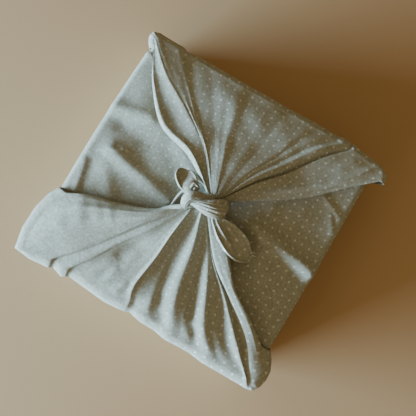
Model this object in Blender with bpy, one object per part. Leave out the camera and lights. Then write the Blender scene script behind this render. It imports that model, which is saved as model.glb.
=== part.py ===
"""A shallow gift box wrapped in one square of cotton cloth, knotted in the middle of its top.

The cloth is one thin solid. A flat base and a ring of wall rise to a rim. From the rim, two
smooth panels run inwards from the left and right edges, and two pleated fans from the front
and back edges cross over them to the knot. The box inside is a plain closed block.
Left is -X, right is +X, front is -Y and back is +Y. The origin is the middle of the base.
"""

import bmesh
import bpy
import numpy as np

MM = 0.001

# Driving sizes, in millimetres
BOX_SIDE = 236.0
BOX_HEIGHT = 63.0
BOX_BEVEL = 1.5
SHEET = 1.5
BOX_SEAT = 0.3
BOX_CLEARANCE = 2.0
LAYER_GAP = 0.4
WALL_SLACK = 1.5
BASE_CORNER = 6.0
BASE_BEND = 4.5
RIM_BEND = 5.0
FAN_ROWS = 10
PANEL_ROWS = 10
PANEL_COLUMNS = 20
LEAST_COSINE = 0.5
SLANT = np.sqrt(0.5)

# Places that follow from them
BOX_BOTTOM = SHEET + BOX_SEAT
BOX_TOP = BOX_BOTTOM + BOX_HEIGHT
WALL = BOX_SIDE / 2 + BOX_CLEARANCE + SHEET / 2 + WALL_SLACK
PANEL_Z = BOX_TOP + BOX_CLEARANCE + SHEET / 2
FAN_Z = PANEL_Z + SHEET + 0.65

# Each fold of the front fan, from its left hem round to its right hem: where it leaves the
# rim, where it is a third and two thirds of the way to the knot, and its lift above the panels
FRONT_FOLDS = np.array([
    # rim x, y, lift, outer x, y, lift, inner x, y, lift
    (-130, -52, 1.0, -92, -42, 1.0, -53, -28, 3.5),
    (-140, -74, 1.5, -97, -53, 4.5, -53, -32, 7.0),
    (-142, -98, 1.5, -97, -66, 6.0, -51, -36, 9.0),
    (-138, -125, 1.0, -88, -79, 5.0, -46, -40, 9.0),
    (-104, -126, 2.0, -74, -84, 5.5, -43, -42, 9.5),
    (-96, -122, -0.5, -69, -84, 0.5, -41, -43, 5.0),
    (-83, -127, 2.5, -62, -82, 6.0, -36, -44, 10.0),
    (-77, -122, -0.5, -56, -81, 1.0, -33, -44, 5.5),
    (-46, -125, 2.0, -37, -88, 6.5, -24, -47, 9.5),
    (-16, -125, 2.5, -20, -89, 9.0, -14, -47, 12.5),
    (-9, -122, -0.5, -9, -88, 1.5, -8, -45, 5.5),
    (6, -124, 1.0, 1, -88, 3.5, -3, -45, 7.0),
    (19, -124, 0.0, 9, -88, 1.5, 1, -46, 5.5),
    (33, -128, 3.0, 20, -90, 9.0, 9, -46, 12.0),
    (41, -125, 0.0, 29, -88, 1.5, 15, -45, 5.0),
    (76, -129, 3.0, 54, -88, 8.5, 29, -45, 11.0),
    (101, -128, 0.5, 72, -87, 2.5, 34, -43, 6.0),
    (126, -128, 1.5, 85, -83, 7.0, 39, -42, 9.5),
    (135, -119, 1.5, 91, -77, 8.5, 44, -40, 12.0),
    (136, -104, 1.0, 92, -72, 3.5, 49, -37, 6.0),
    (125, -85, 1.0, 86, -65, 1.0, 51, -33, 4.0),
], float)

# The back fan's folds in the same columns, from its right hem round to its left edge
BACK_FOLDS = np.array([
    (139, 111, 1.0, 101, 79, 1.0, 60, 43, 4.0),
    (133, 119, 1.5, 96, 83, 4.0, 56, 47, 7.0),
    (119, 124, 1.5, 88, 84, 6.0, 52, 50, 9.0),
    (108, 125, 0.5, 81, 87, 3.0, 47, 52, 6.5),
    (97, 126, 1.5, 72, 88, 6.5, 43, 55, 10.0),
    (92, 124, -0.5, 67, 90, 0.5, 40, 57, 4.5),
    (86, 128, 3.0, 61, 94, 8.5, 36, 60, 11.5),
    (76, 125, 0.5, 55, 90, 2.0, 32, 59, 5.5),
    (44, 128, 3.0, 37, 91, 8.5, 23, 57, 11.5),
    (19, 124, 0.0, 20, 89, 2.0, 14, 56, 5.5),
    (0, 125, 2.0, 8, 90, 7.5, 7, 56, 10.5),
    (-17, 123, 0.0, -11, 90, 2.0, -2, 56, 5.5),
    (-27, 125, 1.5, -21, 91, 5.5, -8, 55, 9.0),
    (-49, 123, 0.5, -32, 91, 2.5, -13, 54, 6.0),
    (-80, 124, 1.5, -54, 89, 5.0, -23, 52, 9.0),
    (-88, 122, -0.5, -62, 87, 1.0, -29, 55, 5.5),
    (-96, 125, 2.0, -68, 89, 6.0, -34, 59, 10.0),
    (-126, 123, 1.5, -78, 90, 5.0, -38, 59, 9.0),
    (-130, 117, 1.0, -84, 85, 3.0, -43, 56, 6.0),
    (-129, 111, 0.5, -91, 78, 1.0, -49, 50, 4.0),
    (-126, 104.5, 1.0, -97, 71, 3.0, -55, 43, 6.0),
], float)

# Where each fan enters the knot: its two sides, its depth, and its lift there and in the middle
FRONT_NECK = {"left": -14.0, "right": 12.0, "y": 1.0, "lift": 10.0, "crown": 4.0}
BACK_NECK = {"left": -9.0, "right": 15.0, "y": 12.0, "lift": 10.0, "crown": 4.0}

# Each panel: its rim from one end to the other, its inner end, and the soft bow of the rim
LEFT_PANEL = {"rim": 123.0, "from": 102.5, "to": -50.5, "bow": 2.0,
              "end_x": 2.0, "end_from": 40.0, "end_to": -34.0, "side": -1.0}
RIGHT_PANEL = {"rim": 124.0, "from": -83.5, "to": 98.0, "bow": 0.5,
               "end_x": -6.0, "end_from": -40.0, "end_to": 60.0, "side": 1.0}
OVERLAP_STARTS, OVERLAP_FULL, OVERLAP_LIFT = 17.0, 6.0, 2.3

# Soft wrinkles of the panels: a line from one end to the other, its reach and its height
WRINKLES = np.array([
    # from x, y, to x, y, reach, height
    (-112, 32, -72, 31, 11, 2.0),
    (-106, 0, -40, -10, 9, 1.8),
    (-96, 6, -48, 18, 8, -0.8),
    (-122, 46, -98, 50, 8, -0.8),
    (-118, -16, -112, -40, 7, -0.8),
    (70, 2, 118, 6, 8, 2.0),
    (88, 74, 112, 62, 9, 1.6),
    (98, -20, 120, -34, 7, -0.8),
], float)

# The knot's heart, an upright oval lump
HEART = {"middle": (0.0, 6.5, 83.0), "radii": (19.0, 12.5, 10.5)}

# The strands of the knot: places along each, half its width and half its thickness
BAND = np.array([
    # x, y, z, half width, half thickness
    (-15.0, -4.0, 82.0, 3.0, 2.5),
    (-8.0, -1.5, 88.5, 4.5, 3.2),
    (2.0, 4.0, 94.0, 7.0, 3.6),
    (12.0, 8.5, 93.5, 9.5, 3.6),
    (19.5, 11.0, 86.0, 10.0, 3.4),
    (18.5, 11.0, 77.5, 7.0, 3.0),
])
LOBE = np.array([
    (-2.0, 11.0, 89.5, 4.0, 2.6),
    (-11.0, 9.5, 92.5, 4.5, 3.2),
    (-19.0, 5.0, 90.0, 5.5, 3.6),
    (-21.5, -1.0, 84.0, 5.5, 3.6),
    (-15.0, -5.0, 78.5, 5.0, 3.2),
    (-6.0, -3.0, 77.0, 4.0, 2.6),
])

# The two short tails, leaves of cloth with raised rims: middle line, half width and cup
BACK_TAIL = np.array([
    # x, y, z, half width, cup
    (-10.0, 9.0, 85.0, 4.5, 0.5),
    (-19.0, 12.5, 86.5, 5.5, 1.5),
    (-26.0, 14.5, 85.5, 7.5, 2.2),
    (-33.0, 16.0, 84.0, 8.0, 2.2),
    (-38.0, 17.5, 82.0, 6.0, 1.4),
    (-41.0, 18.5, 80.5, 2.5, 0.4),
])
FRONT_TAIL = np.array([
    (9.0, 2.0, 84.0, 5.0, 0.5),
    (19.0, -5.0, 85.5, 6.0, 1.2),
    (30.0, -9.5, 84.0, 10.0, 2.0),
    (42.0, -13.0, 80.0, 12.5, 2.4),
    (54.0, -15.0, 76.0, 10.5, 2.0),
    (63.0, -14.0, 73.5, 5.0, 1.0),
    (68.5, -12.8, 72.6, 1.0, 0.2),
])
TAIL_THICKNESS = 1.8
STRAND_SIDES = 10
LEAF_STEPS = 6
STEPS_PER_PLACE = 2
HEART_RINGS, HEART_SIDES = 9, 16


def smooth(value):
    """Rises from 0 to 1 with level ends."""
    value = np.clip(value, 0.0, 1.0)
    return value * value * (3.0 - 2.0 * value)


def panel_height(x, y):
    """The panels' middle surface: level, plus a soft bump along each wrinkle's line."""
    start, end = WRINKLES[:, 0:2], WRINKLES[:, 2:4]
    run = end - start
    place = np.stack([x, y], axis=-1)[..., None, :] - start
    along = np.clip((place * run).sum(-1) / (run * run).sum(-1), 0.0, 1.0)
    away = np.linalg.norm(place - along[..., None] * run, axis=-1)
    bumps = WRINKLES[:, 5] * np.exp(-((away / WRINKLES[:, 4]) ** 2))
    return PANEL_Z + bumps.sum(-1)


def wall_foot(rim):
    """The nearest place to each rim point on the wall's rounded square, and its way out."""
    inner = np.clip(rim, -(WALL - BASE_CORNER), WALL - BASE_CORNER)
    out = rim - inner
    out /= np.linalg.norm(out, axis=1, keepdims=True)
    return inner + BASE_CORNER * out, out


def between_folds(folds):
    """Fold lines with rows between them. Plan places run straight from fold to fold, and
    heights rise and fall smoothly, so each fold is a rounded ridge or trough."""
    rows = []
    for this, after in zip(folds[:-1], folds[1:]):
        width = np.hypot(*(after[:2] - this[:2]))
        steps = 2 if width < 14 else 3
        for step in range(steps):
            part = step / steps
            row = this + (after - this) * part
            lifts = slice(2, None, 3)
            row[lifts] = this[lifts] + (after - this)[lifts] * smooth(part)
            rows.append(row)
    rows.append(folds[-1])
    return np.array(rows)


def through_four(places, t):
    """The cubic through four places at 0, 1/3, 2/3 and 1."""
    t = t[:, None, None]
    a, b, c, d = places
    return (
        a * (1 - t) * (2 - 3 * t) * (1 - 3 * t) / 2
        + b * 9 * t * (1 - t) * (2 - 3 * t) / 2
        + c * 9 * t * (1 - t) * (3 * t - 1) / 2
        + d * t * (3 * t - 1) * (3 * t - 2) / 2
    )


def top_bend(rim, out, height):
    """The turn over the box's edge: wall top, middle of the bend, and its level end."""
    half_turn = RIM_BEND * (1 - SLANT)
    insets = (0.0, half_turn, RIM_BEND)
    drops = (RIM_BEND, half_turn, 0.0)
    rows = [
        np.column_stack([rim - inset * out, height - drop])
        for inset, drop in zip(insets, drops)
    ]
    return np.array(rows)


def fan_surface(folds, neck):
    """Middle surface of a pleated fan, as rows from its bend to the knot, and its rim."""
    columns = between_folds(folds)
    rim = columns[:, 0:2]
    _, out = wall_foot(rim)
    bend = top_bend(rim, out, FAN_Z + columns[:, 2])
    across = np.linspace(0.0, 1.0, len(columns))
    if folds[0, 0] > folds[-1, 0]:
        across = 1.0 - across
    end = np.column_stack([
        neck["left"] + (neck["right"] - neck["left"]) * across,
        np.full(len(columns), neck["y"]),
        FAN_Z + neck["lift"] + neck["crown"] * np.sin(np.pi * across),
    ])
    outer = columns[:, 3:6] + (0, 0, FAN_Z)
    inner = columns[:, 6:9] + (0, 0, FAN_Z)
    rows = through_four((bend[-1], outer, inner, end), np.linspace(0, 1, FAN_ROWS + 1)[1:])
    return rim, bend, rows


def panel_surface(panel):
    """Middle surface of a flat panel, as rows from its bend to its inner end, and its rim. The
    right panel's inner end steps up onto the left one."""
    part = np.linspace(0.0, 1.0, PANEL_COLUMNS)
    y = panel["from"] + (panel["to"] - panel["from"]) * part
    x = panel["side"] * (panel["rim"] + panel["bow"] * np.sin(np.pi * part))
    rim = np.column_stack([x, y])
    _, out = wall_foot(rim)
    bend = top_bend(rim, out, np.full(len(rim), PANEL_Z))
    end_y = panel["end_from"] + (panel["end_to"] - panel["end_from"]) * part
    end = np.column_stack([np.full(len(rim), panel["end_x"]), end_y])
    t = np.linspace(0.0, 1.0, PANEL_ROWS + 1)[1:, None, None]
    plan = bend[-1][:, :2] + (end - bend[-1][:, :2]) * t
    height = panel_height(plan[..., 0], plan[..., 1])
    height = PANEL_Z + (height - PANEL_Z) * smooth((1 - t[..., 0]) * 6)
    if panel["side"] > 0:
        into = (OVERLAP_STARTS - plan[..., 0]) / (OVERLAP_STARTS - OVERLAP_FULL)
        height = height + OVERLAP_LIFT * smooth(into)
    return rim, bend, np.dstack([plan, height])


def steepness(grid):
    """One over the cosine of the slope at each place of a grid, held to a least cosine."""
    down = np.gradient(grid, axis=0)
    over = np.gradient(grid, axis=1)
    normal = np.cross(down, over)
    cosine = np.abs(normal[..., 2]) / np.linalg.norm(normal, axis=-1)
    return 1.0 / np.maximum(cosine, LEAST_COSINE)


def wall_rows(rim):
    """The lower rows of the ring, from the flat base up to half of the wall's height."""
    foot, out = wall_foot(rim)
    half_turn = BASE_BEND * (1 - SLANT)
    middle = (BOX_TOP + BOX_BOTTOM) / 2
    flat = np.column_stack([foot - BASE_BEND * out, np.full(len(rim), SHEET / 2)])
    turn = np.column_stack([foot - half_turn * out, np.full(len(rim), SHEET / 2 + half_turn)])
    rise = np.column_stack([foot, np.full(len(rim), SHEET / 2 + BASE_BEND)])
    waist = np.column_stack([foot + 0.35 * (rim - foot), np.full(len(rim), middle)])
    return np.array([flat, turn, rise, waist]), out


def both_faces(middle, way, thickness):
    """Outer and inner copies of a middle surface, half a thickness along the way each."""
    shift = way * (thickness / 2)[..., None]
    return middle + shift, middle - shift


def tongue_faces(rim_out, bend, rows, pleated):
    """Outer and inner faces of a tongue above the wall's top: its bend, then its rows.

    A pleated fan is thicker upwards where it is steep, so that it keeps its thickness across.
    It also stays a little above the panels.
    """
    up = np.array((0.0, 0.0, 1.0))
    grid = np.concatenate([bend[1:], rows])
    ways = np.broadcast_to(up, grid.shape).copy()
    ways[0] = SLANT * (rim_out + up)
    thickness = np.full(grid.shape[:2], SHEET)
    if not pleated:
        return both_faces(grid, ways, thickness)
    thickness[2:] = SHEET * steepness(grid)[2:]
    outer, inner = both_faces(grid, ways, thickness)
    lowest = panel_height(inner[1:, :, 0], inner[1:, :, 1]) + SHEET / 2 + LAYER_GAP
    inner[1:, :, 2] = np.maximum(inner[1:, :, 2], lowest)
    outer[1:, :, 2] = np.maximum(outer[1:, :, 2], inner[1:, :, 2] + SHEET)
    return outer, inner


def grid_quads(index, closed):
    """Four-sided faces of a grid of point numbers, the last column joined to the first if the
    grid is closed."""
    right = np.roll(index, -1, axis=1)
    if not closed:
        index, right = index[:, :-1], right[:, :-1]
    return np.stack([index[:-1], right[:-1], right[1:], index[1:]], axis=-1).reshape(-1, 4)


def wrap_mesh():
    """The whole cloth but its knot: one closed thin shell.

    Rows of the ring run round the box. Its columns go on into four tongues, which are the
    front fan, right panel, back fan and left panel in turn. The outer and inner faces use the
    same grid, and the cloth's edge closes them.
    """
    tongues = [
        fan_surface(FRONT_FOLDS, FRONT_NECK),
        panel_surface(RIGHT_PANEL),
        fan_surface(BACK_FOLDS, BACK_NECK),
        panel_surface(LEFT_PANEL),
    ]
    rim = np.concatenate([rim for rim, _, _ in tongues])
    wall_top = np.concatenate([bend[0] for _, bend, _ in tongues])
    low, out = wall_rows(rim)
    up = np.array((0.0, 0.0, 1.0))
    out = np.column_stack([out, np.zeros(len(out))])
    ring = np.concatenate([low, wall_top[None]])
    ways = np.array([out * 0 - up, SLANT * (out - up), out, out, out])
    outer, inner = both_faces(ring, ways, np.full(ring.shape[:2], SHEET))
    outer_points, inner_points = [outer.reshape(-1, 3)], [inner.reshape(-1, 3)]
    ring_index = np.arange(len(rim) * len(ring)).reshape(len(ring), len(rim))
    quads = [grid_quads(ring_index, closed=True)]
    edge = []
    start, count = 0, ring_index.size
    for number, (tongue_rim, bend, rows) in enumerate(tongues):
        columns = slice(start, start + len(tongue_rim))
        outer, inner = tongue_faces(out[columns], bend, rows, pleated=number % 2 == 0)
        outer_points.append(outer.reshape(-1, 3))
        inner_points.append(inner.reshape(-1, 3))
        index = count + np.arange(outer[..., 0].size).reshape(outer.shape[:2])
        count += index.size
        index = np.concatenate([ring_index[-1:, columns], index])
        quads.append(grid_quads(index, closed=False))
        edge += [*index[:, 0], *index[-1, 1:], *index[::-1, -1][1:]]
        start = columns.stop
    quads = np.concatenate(quads)
    after = np.roll(edge, -1)
    edge_quads = np.column_stack([edge, after, after + count, np.add(edge, count)])
    base = ring_index[0]
    faces = quads.tolist() + (quads[:, ::-1] + count).tolist() + edge_quads.tolist()
    faces += [base[::-1].tolist(), (base + count).tolist()]
    return np.concatenate(outer_points + inner_points), faces


def through_places(table):
    """A smooth curve through the rows of a table, with a few steps for each row."""
    count = len(table)
    t = np.linspace(0, count - 1, (count - 1) * STEPS_PER_PLACE + 1)
    low = np.clip(t.astype(int), 0, count - 2)
    part = (t - low)[:, None]
    slope = np.gradient(table, axis=0)
    a, b = table[low], table[low + 1]
    return (
        a * (1 + 2 * part) * (1 - part) ** 2
        + slope[low] * part * (1 - part) ** 2
        + b * part**2 * (3 - 2 * part)
        + slope[low + 1] * part**2 * (part - 1)
    )


def frame_along(path, outwards):
    """Two directions across a path: one to its side, and one away from the knot's middle."""
    ahead = np.gradient(path, axis=0)
    ahead /= np.linalg.norm(ahead, axis=1, keepdims=True)
    lift = outwards - (outwards * ahead).sum(1, keepdims=True) * ahead
    lift /= np.linalg.norm(lift, axis=1, keepdims=True)
    return np.cross(lift, ahead), lift


def loft(rings):
    """A closed solid through equal rings of points, with a flat cap at each end."""
    count, sides = rings.shape[:2]
    index = np.arange(count * sides).reshape(count, sides)
    faces = grid_quads(index, closed=True).tolist()
    faces += [index[0][::-1].tolist(), index[-1].tolist()]
    return rings.reshape(-1, 3), faces


def strand_mesh(table):
    """A flat strand: an oval of the row's width and thickness carried along its places."""
    rows = through_places(table)
    path = rows[:, :3]
    middle = np.array(HEART["middle"]) - (0, 0, HEART["radii"][2])
    side, lift = frame_along(path, path - middle)
    turn = np.linspace(0, 2 * np.pi, STRAND_SIDES, endpoint=False)
    across = rows[:, 3:4] * np.cos(turn)
    above = rows[:, 4:5] * np.sin(turn)
    return loft(path[:, None] + across[..., None] * side[:, None] + above[..., None] * lift[:, None])


def leaf_mesh(table):
    """A tail: a thin leaf with raised rims, of the row's width, carried along its places."""
    rows = through_places(table)
    path = rows[:, :3]
    side, lift = frame_along(path, np.broadcast_to((0.0, 0.0, 1.0), path.shape))
    step = np.linspace(-1, 1, LEAF_STEPS)
    across = np.concatenate([step, step[::-1]])
    above = np.concatenate([np.full(LEAF_STEPS, -0.5), np.full(LEAF_STEPS, 0.5)]) * TAIL_THICKNESS
    sideways = rows[:, 3:4] * across
    height = above + rows[:, 4:5] * across**2
    return loft(path[:, None] + sideways[..., None] * side[:, None] + height[..., None] * lift[:, None])


def heart_mesh():
    """An oval lump: circles of latitude with a flat cap at each end."""
    tilt = np.linspace(-0.46 * np.pi, 0.46 * np.pi, HEART_RINGS)[:, None]
    turn = np.linspace(0, 2 * np.pi, HEART_SIDES, endpoint=False)
    ball = np.stack(np.broadcast_arrays(
        np.cos(tilt) * np.cos(turn), np.cos(tilt) * np.sin(turn), np.sin(tilt)
    ), axis=-1)
    return loft(np.array(HEART["middle"]) + ball * HEART["radii"])


def new_object(name, points, faces, material, smooth_shading=True):
    """An object from points in millimetres, with its faces turned outwards."""
    mesh = bpy.data.meshes.new(name)
    mesh.from_pydata((np.asarray(points) * MM).tolist(), [], faces)
    shape = bmesh.new()
    shape.from_mesh(mesh)
    bmesh.ops.triangulate(shape, faces=shape.faces)
    bmesh.ops.recalc_face_normals(shape, faces=shape.faces)
    shape.to_mesh(mesh)
    shape.free()
    if smooth_shading:
        mesh.shade_smooth()
    mesh.materials.append(material)
    obj = bpy.data.objects.new(name, mesh)
    bpy.context.scene.collection.objects.link(obj)
    return obj


def as_helper(obj):
    """Keeps an object out of the model: it only gives its shape to a Boolean."""
    obj.hide_render = True
    obj.display_type = "WIRE"
    return obj


def join(target, other):
    modifier = target.modifiers.new("join " + other.name, "BOOLEAN")
    modifier.operation = "UNION"
    modifier.object = other


def plain_material(name, color, roughness):
    material = bpy.data.materials.new(name)
    material.use_nodes = True
    shader = material.node_tree.nodes["Principled BSDF"]
    shader.inputs["Base Color"].default_value = (*color, 1.0)
    shader.inputs["Roughness"].default_value = roughness
    shader.inputs["Metallic"].default_value = 0.0
    return material


def make_wrap(cloth):
    """The cloth: the shell, the knot's heart, its two strands and its two tails, as one body."""
    wrap = new_object("wrap", *wrap_mesh(), cloth)
    pieces = {
        "knot_heart": heart_mesh(),
        "knot_band": strand_mesh(BAND),
        "knot_lobe": strand_mesh(LOBE),
        "back_tail": leaf_mesh(BACK_TAIL),
        "front_tail": leaf_mesh(FRONT_TAIL),
    }
    for name, shape in pieces.items():
        join(wrap, as_helper(new_object(name, *shape, cloth)))


def make_box(card):
    """The closed box inside, a square block with slightly rounded edges."""
    mesh = bpy.data.meshes.new("box")
    shape = bmesh.new()
    bmesh.ops.create_cube(shape, size=1.0)
    bmesh.ops.scale(shape, vec=(BOX_SIDE * MM, BOX_SIDE * MM, BOX_HEIGHT * MM), verts=shape.verts)
    middle = (BOX_BOTTOM + BOX_HEIGHT / 2) * MM
    bmesh.ops.translate(shape, vec=(0, 0, middle), verts=shape.verts)
    shape.to_mesh(mesh)
    shape.free()
    mesh.materials.append(card)
    box = bpy.data.objects.new("box", mesh)
    bpy.context.scene.collection.objects.link(box)
    bevel = box.modifiers.new("rounded edges", "BEVEL")
    bevel.width = BOX_BEVEL * MM
    bevel.segments = 2


def main():
    for obj in list(bpy.data.objects):
        bpy.data.objects.remove(obj, do_unlink=True)
    make_wrap(plain_material("cotton", (0.42, 0.42, 0.36), 0.9))
    make_box(plain_material("card", (0.55, 0.45, 0.33), 0.8))


main()
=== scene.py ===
"""The looks of a dotted cotton cloth wrapped and knotted round a shallow gift box.

Sizes are millimetres, except where a comment says metres. Left is -X, right is +X, front is -Y
and back is +Y.
"""
import math

import bpy
import numpy as np
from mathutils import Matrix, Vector


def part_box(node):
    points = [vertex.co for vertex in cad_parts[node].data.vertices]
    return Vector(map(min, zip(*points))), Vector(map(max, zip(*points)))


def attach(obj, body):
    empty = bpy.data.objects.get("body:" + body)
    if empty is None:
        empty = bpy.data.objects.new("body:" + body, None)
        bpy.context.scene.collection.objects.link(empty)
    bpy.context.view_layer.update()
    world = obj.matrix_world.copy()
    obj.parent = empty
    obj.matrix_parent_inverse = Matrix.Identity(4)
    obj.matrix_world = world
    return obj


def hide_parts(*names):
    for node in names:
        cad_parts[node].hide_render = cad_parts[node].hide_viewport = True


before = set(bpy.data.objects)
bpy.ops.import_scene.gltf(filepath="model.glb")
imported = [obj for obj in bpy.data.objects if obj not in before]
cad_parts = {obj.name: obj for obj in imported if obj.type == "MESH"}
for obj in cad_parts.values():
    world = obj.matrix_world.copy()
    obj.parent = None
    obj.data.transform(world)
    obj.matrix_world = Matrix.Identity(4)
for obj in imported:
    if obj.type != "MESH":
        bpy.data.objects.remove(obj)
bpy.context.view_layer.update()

MM = 0.001

# The cloth: its thickness in the solids and here, and its places round the box
BOX_HIGH = np.array(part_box("box")[1]) / MM
SHEET = 1.5
CLOTH = 0.9
BOX_CLEARANCE = 2.0
WALL_SLACK = 1.5
WALL = BOX_HIGH[0] + BOX_CLEARANCE + SHEET + WALL_SLACK
PANEL_Z = BOX_HIGH[2] + BOX_CLEARANCE + SHEET
FAN_RISE = 2.15
FAN_Z = PANEL_Z + FAN_RISE
LEAST_OVER_PANEL = 0.55

# Radii of the base's corners in plan, and of the turns at the base and over the box's edges
BASE_CORNER = 6.0 + SHEET / 2
BASE_BEND = 4.5 + SHEET / 2
RIM_BEND = 6.0
FAN_BENDS = {"front_fan": 11.0, "back_fan": 6.5}

# The camera looks straight down, turned against the box as in the photograph. These are metres,
# and the turn is in degrees.
CAMERA_HEIGHT = 0.6
VIEW_WIDTH = 0.3985
VIEW_TURN = 30.5
VIEW_MIDDLE = (0.0039, 0.0032)

# Where the lifts and the crispness are in a row of the fold tables
LIFTS, CRISPNESS = slice(10, 14), 14

# Folds of the front fan from its left hem to its right hem. Each starts at the rim, passes a
# quarter, half and three quarters of the way, and ends in the knot. Its lift above the fan's
# level is given at the first four places, and its edge is soft at 0 and crisp at 3.
FRONT_FOLDS = np.array([
    # rim x, y, quarter x, y, half x, y, three quarters x, y, knot x, y, four lifts, crispness
    (-130, -52, -99, -43, -67, -34, -37, -21, -12, 2, 1.6, 1.6, 1.7, 4, 1),
    (-136, -62, -101, -48, -68, -37, -38, -23.5, -12, 1, 0, 4.2, 6.6, 9, 0),
    (-141, -80, -105, -60, -71, -43, -39.5, -27, -11.8, 0, -1, 6.6, 10.4, 12.5, 0),
    (-142, -104, -107, -76, -72, -52, -40, -31, -11.6, -1, -1, 6.8, 11, 13, 0),
    (-138, -125, -102, -89, -68, -59, -39.5, -34, -11.4, -2, -0.4, 5.4, 8.8, 11.4, 0),
    (-120, -127, -89, -90, -61, -62, -38, -35.5, -11.2, -2.8, 1, 5, 7, 10, 0),
    (-99, -125, -79, -91, -59, -65.5, -38, -37, -11, -3.5, 1.3, 4, 5.8, 8.9, 2),
    (-97, -122.3, -77.5, -92.2, -58.2, -66.3, -37.2, -37.5, -10.8, -3.8, 0.3, 3.2, 5, 8.2, 0.6),
    (-85, -126, -69, -92.5, -52, -66, -32.5, -39, -10.6, -4.1, 1.9, 4.7, 5.9, 8.8, 0.5),
    (-81, -124.5, -66.5, -93, -50, -66.5, -31.2, -39.8, -10.5, -4.3, 1.7, 4.4, 5.7, 8.7, 2),
    (-79, -122.3, -65, -93.7, -49, -67.2, -30.4, -40.4, -10.4, -4.5, 0.6, 3.3, 4.9, 8.2, 0.5),
    (-60, -124, -52, -94, -41, -67, -25.5, -41, -10.2, -4.8, 1.2, 2.3, 2.9, 7.5, 0),
    (-37, -126, -35, -94.5, -28, -66, -19, -38.5, -10, -5, 1.9, 3.9, 4.2, 7.8, 0),
    (-21, -125, -24, -95, -18.5, -64, -15.5, -36, -9.7, -5, 1.7, 4, 5.4, 8.6, 0),
    (-15, -124, -19, -95, -15, -63, -13, -35, -9.5, -5, 2, 6.4, 8, 11.2, 1.5),
    (-10.5, -122.5, -15, -94.7, -11.5, -63, -9.8, -35, -9, -3.5, 0.6, 4.4, 5.8, 9, 0.8),
    (3, -125, -1.5, -93.5, -5.5, -63, -6, -35, -5, -3, 2.4, 3.6, 4.2, 7, 0),
    (19, -125.5, 8.5, -94, 0.5, -63, -1, -35, -1, -2, 1.2, 2.2, 2.6, 5.4, 0),
    (32, -127.5, 22.5, -95, 14, -63, 10, -35, 0, -1.5, 3.2, 6.4, 7.4, 10.2, 0),
    (46, -127, 34, -95.5, 23.5, -64, 15.5, -34.5, 0.6, -1, 2.2, 4.6, 5.2, 7.8, 0),
    (59, -127, 45, -96, 30.5, -65, 20, -34.5, 1.2, -0.5, 1.2, 2.4, 2.8, 5.8, 0),
    (75, -128.5, 57.5, -97, 42, -65, 26, -34.5, 1.7, 0, 3.2, 6.2, 6.6, 7.4, 0),
    (90, -128.5, 68, -96.5, 49.5, -65, 29, -35.5, 2, 0.5, 2.2, 4.4, 4.4, 6.4, 0),
    (110, -128.5, 80, -94.5, 57, -63.5, 30.8, -36, 2.3, 1, 2, 2.8, 3.4, 5.8, 0),
    (124, -128.3, 92, -93, 60.8, -62, 32.3, -36.4, 2.5, 1.2, 3.4, 6, 5.6, 7.2, 0.8),
    (130, -127.5, 95, -88.5, 62.5, -60.8, 33, -36.5, 2.7, 1.5, 1.8, 2, 2.8, 5.8, 0),
    (134.5, -121, 96, -83, 65, -59.5, 34, -36, 3.2, 2, 2.6, 5, 6, 9.2, 1.5),
    (136.5, -111, 98, -80, 67, -57.8, 36, -34, 5, 2.7, 2.8, 5.6, 6.6, 10, 0),
    (136, -102, 98.5, -76.5, 68, -54.8, 39.5, -30, 9, 3.6, 2.6, 6, 7.2, 10.6, 0),
    (132, -93, 96.5, -72, 66.5, -51.5, 42, -26.5, 11.5, 4.2, 1.8, 5.8, 7.2, 10.6, 0.5),
    (126, -84.5, 92.5, -67.5, 64.5, -49.5, 43, -24, 13, 5, 0.8, 2.2, 3, 6.6, 1),
], float)

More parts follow.
